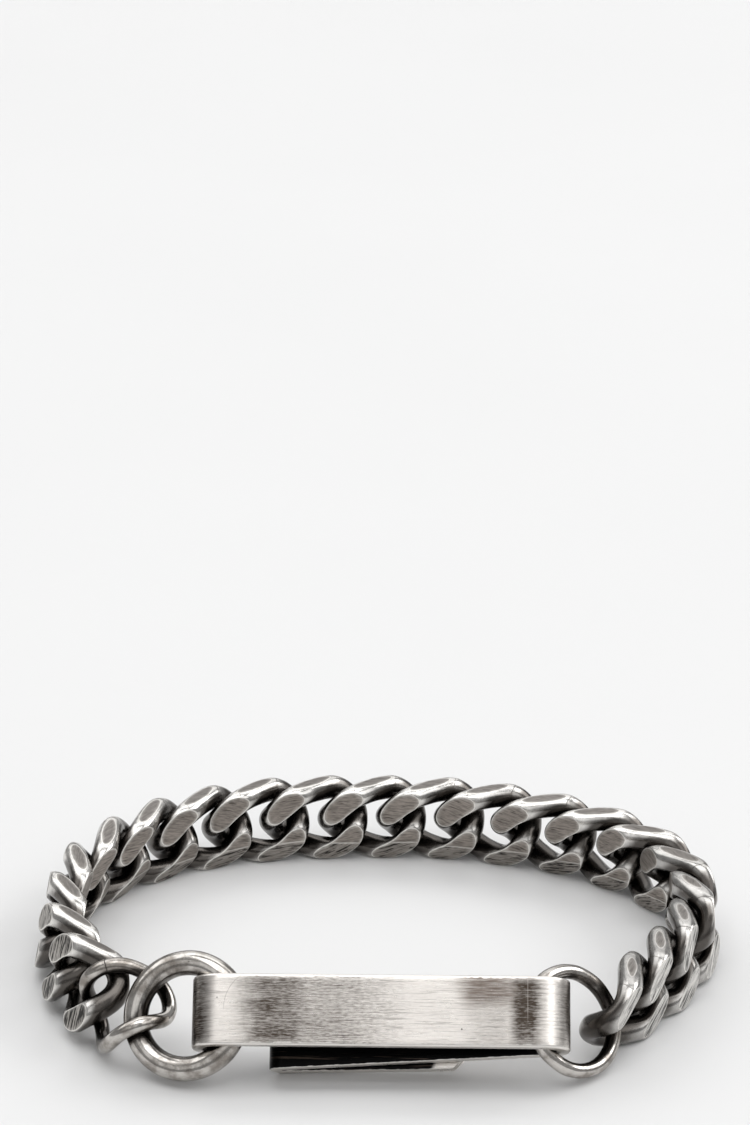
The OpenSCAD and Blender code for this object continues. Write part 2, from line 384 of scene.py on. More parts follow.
# Paint of the filed faces and how light its strokes leave it, one kind of face laid over the other by masks
def paintFaces(tree, axes, outer, flat, ridge, seed, rubbed, shift):
    x, y, z = axes
    onOuter = calculate(tree, (4, 1), "GREATER_THAN", outer, 0.0)
    masks = {"inner": None, "slant": calculate(tree, (4, 2), "GREATER_THAN", ridge, 0.0),
             "top": calculate(tree, (4, 3), "GREATER_THAN", flat, 0.0), "outer": onOuter,
             "rubbed": calculate(tree, (4, 4), "MULTIPLY", onOuter, rubbed)}
    ways = {"inner": (x, z), "slant": (x, z), "top": (x, y), "outer": (z, x), "rubbed": (x, z)}
    face = grain = None
    spread = links["strokeSpread"]
    for row, (kind, mask) in enumerate(masks.items()):
        paint, turn, fineness, stretch, share, fineShow, deepShow = links[kind]
        turned = calculate(tree, (4, row * 2 + 7), "MULTIPLY_ADD", seed, spread, turn - spread / 2)
        marks, deep = strokes(tree, (5, row * 2), *ways[kind], shift, turned, fineness, stretch, share)
        light = calculate(tree, (6, row * 2), "MULTIPLY_ADD", marks, fineShow, 1 - fineShow / 2)
        scored = calculate(tree, (6, row * 2 + 1), "MULTIPLY_ADD", deep, -deepShow, 1.0)
        light = calculate(tree, (7, row * 2), "MULTIPLY", light, scored)
        painted = shade(tree, (8, row * 2), paint[:3], light)
        face = blendColours(tree, (9, row * 2), mask, face, painted) if mask else painted
        grain = blendValues(tree, (9, row * 2 + 1), mask, grain, light) if mask else light
    return face, grain


# Worn bright rims round the filed faces, and along the ridge between the inner and the slanted face
def wearRims(tree, spot, most, ridge, rubbed, facet):
    rims = []
    for row, (kind, distance) in enumerate((("thinRim", most), ("wideRim", most), ("ridgeRim", ridge))):
        width, core, strength = links[kind]
        worn = useGroup(tree, wornRim, (6, 12 + row), {
            "Place": spot, "Distance": distance, "Width": width, "Core": core})[0]
        rims.append(calculate(tree, (7, 12 + row), "MULTIPLY", worn, strength))
    rim = calculate(tree, (8, 12), "ADD", rims[0], rims[1])
    rim = calculate(tree, (9, 12), "MAXIMUM", rim, rims[2])
    lessRubbed = calculate(tree, (8, 13), "MULTIPLY_ADD", rubbed, -0.4, 1.0)
    rim = calculate(tree, (9, 13), "MULTIPLY", rim, lessRubbed)
    return calculate(tree, (10, 12), "MULTIPLY", rim, facet, use_clamp=True)


# Round wire between the faces: bare metal in clouds, its patina, and the soldered seam and the file notch,
# its cracks, across the upper bar
def paintRoundWire(tree, spot, place, x, z, recess, seed, rubbed):
    s = links
    clouds = cloudy(tree, (6, 16), spot, 0.7, 3.0)
    wire = shade(tree, (8, 16), s["bare"][:3], remap(tree, (7, 16), clouds, 0.3, 0.7, 0.72, 1.05))
    wire = shade(tree, (8, 15), wire, calculate(tree, (7, 15), "MULTIPLY_ADD", rubbed, -0.35, 1.0))
    dark = useGroup(tree, patina, (7, 17), {
        "Place": spot, "Recess": recess, "Cloud size": 0.8, "Break up": 0.35})[0]
    wire = blendColours(tree, (9, 16), dark, wire, s["black"])
    bent = movedBy(tree, (3, 18), cloudy(tree, (2, 18), place, 0.6), 0.5, x)
    seam = band(tree, (4, 18), bent, s["seamAt"], 0.02, 0.08)
    notch = band(tree, (4, 19), bent, s["notchAt"], 0.01, 0.06, 0.7)
    onUpperBar = calculate(tree, (5, 21), "GREATER_THAN", z, s["upperBar"])
    shown = calculate(tree, (6, 21), "MULTIPLY", onUpperBar, remap(tree, (5, 22), seed, 0.0, 1.0, 0.25, 0.8))
    crack = calculate(tree, (7, 19), "MAXIMUM", seam, notch)
    crack = calculate(tree, (8, 19), "MULTIPLY", crack, shown)
    solder = band(tree, (4, 20), bent, s["seamAt"] + s["solderAside"], 0.1, 0.7, 0.3)
    solder = calculate(tree, (8, 20), "MULTIPLY", solder, shown)
    wire = blendColours(tree, (10, 16), solder, wire, s["bare"])
    return blendColours(tree, (11, 16), crack, wire, s["black"]), crack, clouds


# Filed silver: painted faces with worn rims, over round wire with patina in its recesses
def makeLinkSilver():
    s = links
    material, tree, shader = newMaterial("filedSilver")
    place, axes = readAttribute(tree, (0, 0), "place")
    inner, outer, flat = readAttribute(tree, (0, 2), "faces")[1]
    slant, ridge, recess = readAttribute(tree, (0, 4), "wear")[1]
    seed, rubbed = readAttribute(tree, (0, 6), "tint")[1][:2]
    shift = calculate(tree, (2, 6), "MULTIPLY", seed, s["patternShift"])
    shift3 = addNode(tree, "ShaderNodeCombineXYZ", (3, 6), {0: shift, 1: shift, 2: shift}).outputs[0]
    spot = addNode(tree, "ShaderNodeVectorMath", (4, 6), {0: place, 1: shift3}, operation="ADD").outputs[0]

    # Distance to the edge of whichever filed face a point is on, above 0 on the face
    most = calculate(tree, (3, 3), "MAXIMUM", inner, outer)
    most = calculate(tree, (4, 5), "MAXIMUM", most, flat)
    most = calculate(tree, (5, 11), "MAXIMUM", most, slant)
    facet = remap(tree, (6, 11), most, -0.04, 0.02)

    face, grain = paintFaces(tree, axes, outer, flat, ridge, seed, rubbed, shift)
    rim = wearRims(tree, spot, most, ridge, rubbed, facet)
    filed = blendColours(tree, (11, 3), rim, face, s["rim"])
    wire, crack, clouds = paintRoundWire(tree, spot, place, axes[0], axes[2], recess, seed, rubbed)
    dots = useGroup(tree, pits, (7, 22), {"Place": spot, "Density": 1.5, "Share": 0.3, "Size": 0.15})[0]
    colour = blendColours(tree, (13, 0), facet, wire, filed)
    colour = layOver(tree, (14, 0), colour, s["black"], dots, 0.5)
    wireRough = remap(tree, (9, 18), clouds, 0.3, 0.7, 0.19, 0.28)
    faceRough = remap(tree, (11, 10), grain, 0.5, 1.2, 0.52, 0.4)
    rough = blendValues(tree, (13, 9), facet, wireRough, faceRough)
    height = calculate(tree, (12, 12), "MULTIPLY", grain, facet)
    marked = calculate(tree, (12, 13), "MAXIMUM", dots, crack)
    height = calculate(tree, (13, 12), "SUBTRACT", height, marked)
    joinShader(tree, shader, colour, rough, height, 0.3)
    return material


# One filed link about its own middle: wire along the twisted oval, then each point is moved back from each
# file's plane by a smooth maximum of nought and its distance past it, which rounds the edges. What a
# polishing wheel reaches on each flat side is a power of how much the wire's normal faces that side, fading
# exponentially with the depth below it.
def filedLink(line, topLift):
    s = links
    radius = s["wire"] / 2
    smooth = wireGrid(line, radius, s["columns"])
    normals = (smooth - line[:, None]) / radius
    raw = smooth + normals * unevenness(smooth, s["handwork"], s["handworkLength"])[..., None]
    halfThick, halfHigh, slant = s["thickness"] / 2, s["height"] / 2, math.radians(s["slantAngle"])
    slantLevel = halfThick * math.cos(slant) + (halfHigh - s["slantHeight"]) * math.sin(slant)
    planes = {    # outward direction, distance from the middle; the slanted plane comes last
        "inner": ((0, -1, 0), halfThick), "outer": ((0, 1, 0), halfThick),
        "top": ((0, 0, 1), halfHigh + topLift), "bottom": ((0, 0, -1), halfHigh),
        "slant": ((0, -math.cos(slant), -math.sin(slant)), slantLevel)}
    point, distance, unreached = raw.copy(), {}, 1
    for kind, (direction, level) in planes.items():
        direction = np.array(direction) + np.array([math.radians(noise.normal(0, s["faceTilt"])), 0, 0])
        direction /= np.linalg.norm(direction)
        facing, rawPast = normals @ direction, raw @ direction - level
        distance[kind] = edgeDistance(rawPast, facing, radius)
        if kind != "slant":
            depth = np.clip(rawPast, None, 0) / s["wheelReach"]
            unreached = unreached * (1 - np.clip(facing, 0, 1) ** s["wheelSpread"] * np.exp(depth))
        past = point @ direction - level
        r = s["edgeRounding"]
        point -= (np.logaddexp(0, past / r) * r)[..., None] * direction
    return smooth, normals, point, distance, past / math.sin(slant), unreached


# Turn and middle of each link in order: a heading is the one before less the link's own turn, a step is one
# pitch along it, and the middle rises in proportion to the lean, up to leanRise
def linkPlaces():
    s = links
    headings = s["heading"] - np.cumsum(s["turns"])
    steps = s["pitch"] * np.stack([np.cos(np.radians(headings)), np.sin(np.radians(headings))], -1)
    middles = np.array(s["start"]) + np.cumsum(steps, 0) - steps / 2
    places = []
    for heading, lean, middle in zip(headings, s["leans"], middles):
        rise = s["leanRise"] * min(1, abs(lean) / s["fullRiseLean"])
        places.append((turnMatrix(lean, 0, heading), np.array([*middle, s["height"] / 2 + rise])))
    return places


# Middle line of a filed link's wire: an oval one pitch, one wire and the slack long, and as wide as the
# chain is high before its filing, less the wire
def linkLine():
    s = links
    halfLength = (s["pitch"] + s["wire"] + s["slack"]) / 2
    halfWidth = (s["height"] + 2 * s["filing"] - s["wire"]) / 2
    share = np.arange(s["stations"]) / s["stations"]
    return twistedOval(share, halfLength, halfWidth, s["straight"], s["twist"])


# The row of filed links. How recessed a point is joins what no wheel reached and what other wires shut in.
def makeLinks(material, wireLines):
    s = links
    line = linkLine()
    for number, (turn, place) in enumerate(linkPlaces(), 1):
        topLift = s["lightTops"] * (number >= s["lightTopsFrom"])
        seed, rubbed = noise.uniform(), float(number >= s["rubbedFrom"])
        smooth, normals, point, distance, ridge, unreached = filedLink(line, topLift)
        shut = shutIn(smooth @ turn.T + place, normals @ turn.T, wireLines)
        darkest = s["rubbedRecess" if rubbed else "recessShare"]
        recess = (1 - (1 - unreached) * (1 - np.clip(shut, 0, 1))) * darkest
        flat = np.maximum(distance["top"], distance["bottom"])
        attributes = {
            "place": point, "faces": np.stack([distance["inner"], distance["outer"], flat], -1),
            "wear": np.stack([distance["slant"], ridge, recess], -1),
            "tint": np.broadcast_to([seed, rubbed, 0], point.shape)}
        piece = gridPiece(f"filed_link_{number:02d}", point @ turn.T + place, attributes, material)
        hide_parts(f"link_{number:02d}")
        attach(piece, "root")


# Rings and end link

wires = {    # in mm and degrees
    "large_ring": {"node": "big_ring", "diameter": 13.7, "wire": 2.6, "centre": (-19.88, -21, 6.26),
                   "turns": (51.4, 0, -18.9), "seamAt": 0.9, "stations": 200, "columns": 72, "dents": 0.012},
    "thin_ring": {"node": "small_ring", "diameter": 12.2, "wire": 1.6, "centre": (20.45, -20.7, 5.42),
                  "turns": (52.0, 0, 46.0), "seamAt": 13.3, "stations": 200, "columns": 48, "dents": 0.02},
    "plain_end_link": {"node": "end_link", "wire": 1.6, "halfLength": 5.2, "halfWidth": 4.35,
                       "straight": 0.65, "twist": 62.0, "centre": (-26.75, -17.8, 5.2),
                       "turns": (43.8, 6.1, 137.8), "seamAt": 3.8, "stations": 220, "columns": 48,
                       "dents": 0.012},
    "dentLength": 3.2, "patternShift": 20.0,
    "innerSide": (-0.3, 1.0, 0.5),    # facing inwards where the dark starts and is full, and how dark
    "lines": (3.0, 0.15, 7.0, 0.08, 0.2),    # strokes: seed, turn, fineness, stretch and deep share
    "bare": (0.62, 0.595, 0.563, 1), "worn": (0.26, 0.236, 0.213, 1), "black": (0.036, 0.031, 0.028, 1),
}
wireNames = ("large_ring", "thin_ring", "plain_end_link")


# Rubbed silver wire: bare and worn metal in clouds, fine strokes along it, patina, pits and a soldered seam
def makeWireSilver():
    s = wires
    material, tree, shader = newMaterial("polishedSilver")
    place = readAttribute(tree, (0, 0), "place")[0]
    way, recess, around = readAttribute(tree, (0, 2), "wear")[1]
    clouds = cloudy(tree, (3, 0), place, 0.45, 5.0, 0.6)
    worn = remap(tree, (4, 0), clouds, 0.36, 0.65)
    dark = useGroup(tree, patina, (3, 2), {
        "Place": place, "Recess": recess, "Cloud size": 0.9, "Break up": 0.5})[0]
    dots = useGroup(tree, pits, (3, 3), {"Place": place, "Density": 1.2, "Share": 0.3, "Size": 0.2})[0]
    marks = strokes(tree, (3, 4), way, around, *s["lines"])[0]
    scored = calculate(tree, (6, 2), "MULTIPLY", marks, 0.2)
    crack = band(tree, (5, 6), movedBy(tree, (3, 6), clouds, 0.5, way), 0.0, 0.02, 0.08, 0.9)
    colour = blendColours(tree, (6, 0), worn, s["bare"], s["worn"])
    colour = blendColours(tree, (7, 0), scored, colour, s["worn"])
    colour = layOver(tree, (8, 0), colour, s["black"], dark, 0.92)
    colour = layOver(tree, (9, 0), colour, s["black"], dots, 0.6)
    colour = blendColours(tree, (10, 0), crack, colour, s["black"])
    rough = remap(tree, (8, 4), worn, 0.0, 1.0, 0.15, 0.26)
    marked = calculate(tree, (8, 7), "MAXIMUM", dots, crack)
    height = calculate(tree, (9, 6), "SUBTRACT", scored, marked)
    joinShader(tree, shader, colour, rough, height, 0.3)
    return material


# Middle line of a ring's wire, a circle, or of the end link's, a twisted oval
def wireMiddle(s):
    share = np.arange(s["stations"]) / s["stations"]
    if "halfLength" in s:
        return twistedOval(share, s["halfLength"], s["halfWidth"], s["straight"], s["twist"])
    angle, radius = share * 2 * math.pi, (s["diameter"] - s["wire"]) / 2
    return radius * np.stack([np.cos(angle), np.sin(angle), 0 * angle], -1)


# Wire with shallow dents. Its wear holds the way along from its seam, how recessed it is, and the way round.
def makeWire(name, material, wireLines):
    s = wires[name]
    radius = s["wire"] / 2
    line, turn, centre = wireMiddle(s), turnMatrix(*s["turns"]), np.array(s["centre"])
    smooth = wireGrid(line, radius, s["columns"])
    spokes = (smooth - line[:, None]) / radius
    grid = smooth + spokes * unevenness(smooth, s["dents"], wires["dentLength"])[..., None]
    inward = -(spokes * line[:, None]).sum(-1) / np.linalg.norm(line, axis=1)[:, None]
    start, full, darkness = wires["innerSide"]
    shut = shutIn(smooth @ turn.T + centre, spokes @ turn.T, wireLines)
    recess = shut + darkness * smoothStep(start, full, inward)
    way = np.cumsum(np.linalg.norm(np.diff(line, axis=0, append=line[:1]), axis=1))[:, None]
    around = np.linspace(0, 2 * math.pi * radius, s["columns"], endpoint=False)[None]
    wear = np.stack(np.broadcast_arrays(way - s["seamAt"], recess, around), -1)
    attributes = {"place": grid + wires["patternShift"], "wear": wear}
    piece = gridPiece(name, grid @ turn.T + centre, attributes, material)
    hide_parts(s["node"])
    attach(piece, "root")


# Every wire's middle line in its place, thinned out, with its radius
linkThinning, wireThinning = 5, 4
wireLines = []
for turn, place in linkPlaces():
    wireLines.append(((linkLine() @ turn.T + place)[::linkThinning], links["wire"] / 2))
for name in wireNames:
    placed = wireMiddle(wires[name]) @ turnMatrix(*wires[name]["turns"]).T + np.array(wires[name]["centre"])
    wireLines.append((placed[::wireThinning], wires[name]["wire"] / 2))

makeLinks(makeLinkSilver(), wireLines)
print("links made")
wireSilver = makeWireSilver()
for name in wireNames:
    makeWire(name, wireSilver, wireLines)
print("rings and end link made")


# Clasp

clasp = {    # in mm and degrees
    "length": 39.3, "width": 7.5, "thickness": 1.3, "hookDepth": 6.0, "hookLeg": 1.6, "foldDepth": 5.8,
    "hairpinDepth": 3.1, "hairpinInset": 8.0, "rearLeg": 19.8, "tongueDrop": 1.6, "rearDrop": 1.2,
    "tipChamfer": 2.0, "chamferPower": 6,    # the cut at the spring's tip, and how sharply it sets in
    "corner": (-19.33, -26.5, 6.25), "lean": 43.0, "turn": -1.0,
    "step": 0.35, "bendStations": 40, "edgeRounding": 0.28, "endAngles": [2, 22.5, 45, 67.5],
    "wave": 0.012, "waveLength": 9.0,
    "blackFrom": (0.4, 0.2),    # how far from the edges the folds are black: front part, spring
    # shares of the rear leg where its black, in part painted shade, starts and ends thinning toward the lit
    # tip, and by how much it thins
    "litTip": (0.75, 0.84, 0.75),
    "springEdge": 2.5,    # how many times narrower the bright edges of the spring are
    # the dark colour below serves the painted dark reflection bands as well as the real streaks, scratch and
    # pits
    "bare": (0.89, 0.855, 0.815, 1), "brushed": (0.65, 0.60, 0.558, 1), "darkReflectionAndMarks": (0.066, 0.052, 0.042, 1),
    "edge": (0.80, 0.772, 0.735, 1), "brown": (0.14, 0.105, 0.085, 1), "black": (0.006, 0.006, 0.006, 1),
    # each kind of strokes: seed, turn, fineness, stretch and deep share
    "brush": (5.0, 0.008, 9.0, 0.04, 0.4), "coarse": (9.0, -0.02, 5.0, 0.035, 0.3),
    "grain": (7.0, 0.0, 7.0, 0.22, 0.3), "upright": (2.0, 0.03, 5.0, 0.12, 0.3),
    "cloudScale": (0.13, 0.4, 0.3),
    # painted dark reflection bands across the plate, where it mirrors darker parts of the room: middle, core
    # and half width in mm from the left end, and strength
    "paintedReflectionBands": [(0.3, 0.8, 2.4, 1.0), (8.8, 0.8, 5.6, 0.88), (12.5, 1.0, 11.0, 0.44),
                  (30.9, 1.0, 3.5, 0.3), (34.6, 0.5, 2.4, 1.0), (39.4, 0.7, 2.0, 0.62)],
    "wideBand": 3.0,    # bands with a half width above this have ragged edges
    "stainAt": 30.7, "handledAt": 14.0, "foldHighlightAt": 34.8, "pitAt": (28.0, 1.8),
    "scratchMiddle": (7.35, 3.95), "scratchRadius": 3.95, "scratchEnd": 5.2,
}
tongueRun, rearRun = 2, 3    # the hook's leg is 0, the plate 1, and the bend after a run counts half more


# Way of the strip in plan: straight runs and half turns, as columns of x, depth, heading in radians, drop,
# run number and length so far
def claspWay():
    s = clasp
    t = s["thickness"]
    runs = [    # straight length, turn that follows in degrees, its radius, drop at the run's end
        (s["hookLeg"], 180, (s["hookDepth"] - t) / 2, 0),
        (s["length"] - (s["hookDepth"] + s["foldDepth"]) / 2, 180, (s["foldDepth"] - t) / 2, 0),
        (s["length"] - s["foldDepth"] / 2 - s["hairpinInset"] - s["hairpinDepth"] / 2, -180,
         (s["hairpinDepth"] - t) / 2, s["tongueDrop"]),
        (s["rearLeg"], 0, 0, s["rearDrop"])]
    place = np.array([s["hookDepth"] / 2 + s["hookLeg"], s["hookDepth"] - t / 2])
    heading, drop, way, parts = math.pi, 0.0, 0.0, []
    for number, (length, turn, radius, newDrop) in enumerate(runs):
        ahead = np.array([math.cos(heading), math.sin(heading)])
        count = max(2, round(length / s["step"]))
        share = np.arange(count + (turn == 0)) / count
        points = place + length * share[:, None] * ahead
        drops = drop + share * (newDrop - drop)
        parts.append(np.column_stack([points, np.full(len(share), heading), drops,
                                      np.full(len(share), number), way + share * length]))
        place, drop, way = place + length * ahead, newDrop, way + length
        if turn:
            side = math.copysign(1, turn)
            middle = place + side * radius * np.array([-ahead[1], ahead[0]])
            count = s["bendStations"]
            share = np.arange(count) / count
            angle = heading + math.radians(turn) * share
            points = middle - side * radius * np.stack([-np.sin(angle), np.cos(angle)], -1)
            parts.append(np.column_stack([points, angle, np.full(count, drop),
                                          np.full(count, number + 0.5), way + share * math.pi * radius]))
            heading += math.radians(turn)
            place = middle - side * radius * np.array([-math.sin(heading), math.cos(heading)])
            way += math.pi * radius
    return np.concatenate(parts)


# Rounded rectangle as a row of points: each corner is a quarter circle, each side is evenly divided
def stripSection(inset, cornerPoints=5, widthPoints=18, thickPoints=4):
    t, w, r = clasp["thickness"] / 2 - inset, clasp["width"] / 2 - inset, clasp["edgeRounding"] - inset
    points = []
    corners = ((1, 1, 0, thickPoints), (-1, 1, 90, widthPoints),
               (-1, -1, 180, thickPoints), (1, -1, 270, widthPoints))
    for signX, signY, start, count in corners:
        angle = np.radians(start + np.linspace(0, 90, cornerPoints + 1))
        arc = np.stack([signX * (t - r) + r * np.cos(angle), signY * (w - r) + r * np.sin(angle)], -1)
        points.append(arc)
        nextX, nextY = (-signX, signY) if start in (0, 180) else (signX, -signY)
        nextAngle = np.radians(start + 90)
        end = np.array([nextX * (t - r) + r * np.cos(nextAngle), nextY * (w - r) + r * np.sin(nextAngle)])
        share = np.arange(1, count)[:, None] / count
        points.append(arc[-1] + share * (end - arc[-1]))
    return np.concatenate(points)


# Painted reflection: how dark the plate is painted in bands across it where it mirrors darker parts of the
# room, ragged by the strokes and the clouds and thinner along its edges
def paintReflectionBands(tree, way, edge, uneven, coarse, clouds, worked):
    nearly = movedBy(tree, (4, 5), coarse, 0.35, way)
    darkReflectionAndMarks = None
    for row, (middle, core, half, strength) in enumerate(clasp["paintedReflectionBands"]):
        value = uneven if half > clasp["wideBand"] else nearly
        one = band(tree, (6, 3 + row), value, middle, core, half, strength)
        darkReflectionAndMarks = calculate(tree, (9, 3 + row), "MAXIMUM", darkReflectionAndMarks, one) if darkReflectionAndMarks else one
    darkReflectionAndMarks = calculate(tree, (10, 3), "MULTIPLY", darkReflectionAndMarks, remap(tree, (5, 1.5), clouds, 0.3, 0.7, 0.8, 1.2))
    darkReflectionAndMarks = calculate(tree, (11, 3), "MULTIPLY", darkReflectionAndMarks, remap(tree, (6, 1.5), worked, 0.3, 1.7, 0.72, 1.15),
                     use_clamp=True)
    nearEdge = remap(tree, (10, 4), edge, 0.2, 1.1, 0.62, 1.0)
    return calculate(tree, (11, 4), "MULTIPLY", darkReflectionAndMarks, nearEdge)


# Brown stains on the plate's upper part, left of the painted dark reflection band at the fold
def stainPlate(tree, uneven, z, brush):
    stain = band(tree, (6, 8), uneven, clasp["stainAt"], 1.5, 4.0)
    stain = calculate(tree, (10, 8), "MULTIPLY", stain, remap(tree, (6, 9), z, 3.4, 5.6, 0.0, 0.9))
    return calculate(tree, (11, 8), "MULTIPLY", stain, remap(tree, (6, 10), brush, 0.0, 0.8, 0.5, 1.0))


# Dark streaks: deep strokes everywhere, upright ones within the painted dark reflection bands, and stronger
# ones round the handled place
def streakPlate(tree, brushDeep, coarseDeep, uprightDeep, darkReflectionAndMarks, uneven, worked):
    streaks = calculate(tree, (7, -1), "MULTIPLY", brushDeep, 0.3)
    streaks = calculate(tree, (8, -1), "MULTIPLY_ADD", coarseDeep, 0.12, streaks)
    cross = calculate(tree, (7, -2), "MULTIPLY", darkReflectionAndMarks, 0.18)
    cross = calculate(tree, (7, -3), "MULTIPLY", uprightDeep, cross)
    handled = band(tree, (6, -5), uneven, clasp["handledAt"], 3.0, 10.0)
    deeper = calculate(tree, (7, -6), "MULTIPLY_ADD", worked, 0.45, -0.3)
    deeper = calculate(tree, (8, -6), "MULTIPLY", deeper, handled)
    streaks = calculate(tree, (9, -1), "ADD", streaks, cross)
    return calculate(tree, (9, -2), "ADD", streaks, deeper, use_clamp=True)


# One curved scratch, one pit and small chance pits, each by its distance from a place on the flat plate
def markPlate(tree, place, way, z):
    s = clasp
    flatSpot = addNode(tree, "ShaderNodeCombineXYZ", (3, 14), {0: way, 1: z}).outputs[0]
    distances = []
    for row, middle in ((14, s["scratchMiddle"]), (16, s["pitAt"])):
        node = addNode(tree, "ShaderNodeVectorMath", (4, row), {0: flatSpot, 1: (*middle, 0)},
                       operation="DISTANCE")
        distances.append(node.outputs["Value"])
    scratch = band(tree, (5, 14), distances[0], s["scratchRadius"], 0.01, 0.05, 0.4)
    leftPart = calculate(tree, (7, 16), "LESS_THAN", way, s["scratchEnd"])
    shown = calculate(tree, (8, 15), "MULTIPLY", remap(tree, (7, 15), z, 3.2, 4.4), leftPart)
    scratch = calculate(tree, (9, 14), "MULTIPLY", scratch, shown)
    pit = remap(tree, (5, 16), distances[1], 0.06, 0.12, 0.9, 0.0)
    dots = useGroup(tree, pits, (3, 18), {"Place": place, "Density": 0.8, "Share": 0.2, "Size": 0.1})[0]
    dots = calculate(tree, (10, 15), "MULTIPLY", dots, 0.6)
    marked = calculate(tree, (10, 14), "MAXIMUM", scratch, pit)
    return calculate(tree, (11, 14), "MAXIMUM", marked, dots)


# Brushed silver: strokes along the plate, painted dark reflection bands across it, stains and marks at
# places in mm from its left end, black in the folds, partly oxide and partly painted shade, and bright edges
def makeClaspSilver():
    s = clasp
    material, tree, shader = newMaterial("brushedSilver")
    place, axes = readAttribute(tree, (0, 0), "place")
    z = axes[2]
    recess, edge, way = readAttribute(tree, (0, 3), "wear")[1]
    brush, brushDeep = strokes(tree, (3, 0), way, z, *s["brush"])
    coarse, coarseDeep = strokes(tree, (3, -2), way, z, *s["coarse"])
    grain = strokes(tree, (3, -6), way, z, *s["grain"])[0]
    uprightDeep = strokes(tree, (3, -4), z, way, *s["upright"])[1]
    stretched = addNode(tree, "ShaderNodeMapping", (2, 1.5), {"Vector": place, "Scale": s["cloudScale"]})
    clouds = cloudy(tree, (3, 1.5), stretched.outputs[0], 1.0, 5.0, 0.55)
    uneven = movedBy(tree, (4, 3), coarse, 0.9, way)
    uneven = movedBy(tree, (4, 2), clouds, 2.5, uneven)
    worked = calculate(tree, (5, 1), "ADD", brush, grain)

    darkReflectionAndMarks = paintReflectionBands(tree, way, edge, uneven, coarse, clouds, worked)
    stain = stainPlate(tree, uneven, z, brush)
    streaks = streakPlate(tree, brushDeep, coarseDeep, uprightDeep, darkReflectionAndMarks, uneven, worked)
    marked = markPlate(tree, place, way, z)
    # Painted highlight: a thin bright line across the plate's upper part, near its right fold
    foldHighlight = band(tree, (6, 12), way, s["foldHighlightAt"], 0.02, 0.08, 0.25)
    foldHighlight = calculate(tree, (9, 12), "MULTIPLY", foldHighlight, remap(tree, (6, 13), z, 2.0, 4.0))
    # Black in the folds: oxide with painted shade, streaked with brown
    dark = useGroup(tree, patina, (3, 20), {
        "Place": place, "Recess": recess, "Cloud size": 0.6, "Break up": 0.25})[0]
    browned = layOver(tree, (11, 20), s["black"], s["brown"], coarseDeep, 0.35)
    rim = useGroup(tree, wornRim, (3, 22), {"Place": place, "Distance": edge, "Width": 0.34, "Core": 0.6})[0]

    colour = layOver(tree, (7, 0), s["bare"], s["brushed"], worked, 0.32)
    # painted reflection: the plate darkened in bands where it mirrors darker parts of the room
    colour = blendColours(tree, (8, 0), darkReflectionAndMarks, colour, s["darkReflectionAndMarks"])
    colour = blendColours(tree, (9, 0), stain, colour, s["brown"])
    colour = blendColours(tree, (10, 0), streaks, colour, s["darkReflectionAndMarks"])
    # painted highlight line near the fold
    colour = blendColours(tree, (11, 0), foldHighlight, colour, s["brushed"])
    colour = blendColours(tree, (12, 0), marked, colour, s["darkReflectionAndMarks"])
    colour = blendColours(tree, (13, 0), dark, colour, browned)
    colour = layOver(tree, (14, 0), colour, s["edge"], rim, 0.9)
    rough = remap(tree, (8, 4), brush, 0.0, 1.0, 0.27, 0.37)
    height = calculate(tree, (11, 6), "MULTIPLY", brush, 0.5)
    height = calculate(tree, (12, 6), "SUBTRACT", height, marked)
    joinShader(tree, shader, colour, rough, height, 0.25)
    return material


# Strip of rounded section carried along its way. At each end the section is drawn in along a quarter
# circle, and the last run's lower corner is cut off at a slant.
def makeClasp():
    s, r = clasp, clasp["edgeRounding"]
    way = claspWay()
    angles = np.radians(s["endAngles"])
    insets, backs = r * (1 - np.sin(angles)), r * (1 - np.cos(angles))
    copies = len(angles)
    stations = np.concatenate([np.repeat(way[:1], copies, 0), way, np.repeat(way[-1:], copies, 0)])
    ahead = np.concatenate([backs, [r], np.zeros(len(way) - 2), [-r], -backs[::-1]])[:, None]
    sections = [stripSection(i) for i in insets] + [stripSection(0)] * len(way)
    sections = np.array(sections + [stripSection(i) for i in insets[::-1]])
    x, depth, heading, drop, run, length = (stations[:, k][:, None] for k in range(6))
    side, across = sections[..., 0], sections[..., 1] + s["width"] / 2
    share = np.clip(1 - (way[-1, 5] - length) / s["rearLeg"], 0, 1) * (run == rearRun)
    ahead = ahead - share ** s["chamferPower"] * np.clip(s["tipChamfer"] - across, 0, None)
    square = heading + math.pi / 2
    local = np.stack([x + side * np.cos(square) + ahead * np.cos(heading),
                      depth + side * np.sin(square) + ahead * np.sin(heading), across - drop], -1)
    local[..., 1] += unevenness(local, s["wave"], s["waveLength"])

    # Black where the strip faces into its folds: partly the oxide in them, partly painted shade where the
    # plate shades the strip behind it. It leaves the edges, and thins toward the spring's tip, which is lit.
    spring = run >= tongueRun
    inside = np.where(run <= tongueRun, side > 0, side < 0) | (run == tongueRun + 0.5)
    edge = np.minimum(across, s["width"] - across)
    frontBlack, springBlack = s["blackFrom"]
    tipStart, tipEnd, tipLit = s["litTip"]
    recess = inside * smoothStep(0.0, np.where(spring, springBlack, frontBlack), edge)
    recess = recess * (1 - tipLit * smoothStep(tipStart, tipEnd, share))
    hookWay = s["hookLeg"] + math.pi * (s["hookDepth"] - s["thickness"]) / 2
    plateWay = length - hookWay + s["hookDepth"] / 2
    rimEdge = edge * np.where(spring, s["springEdge"], 1)
    wear = np.stack(np.broadcast_arrays(recess, rimEdge, plateWay), -1)
    world = local @ turnMatrix(-s["lean"], 0, s["turn"]).T + np.array(s["corner"])
    attributes = {"place": local, "wear": wear}
    piece = gridPiece("folded_clasp", world, attributes, makeClaspSilver(), closedAlong=False)
    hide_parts("clasp_strip")
    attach(piece, "root")


makeClasp()
print("clasp made")


# Floor, light and camera

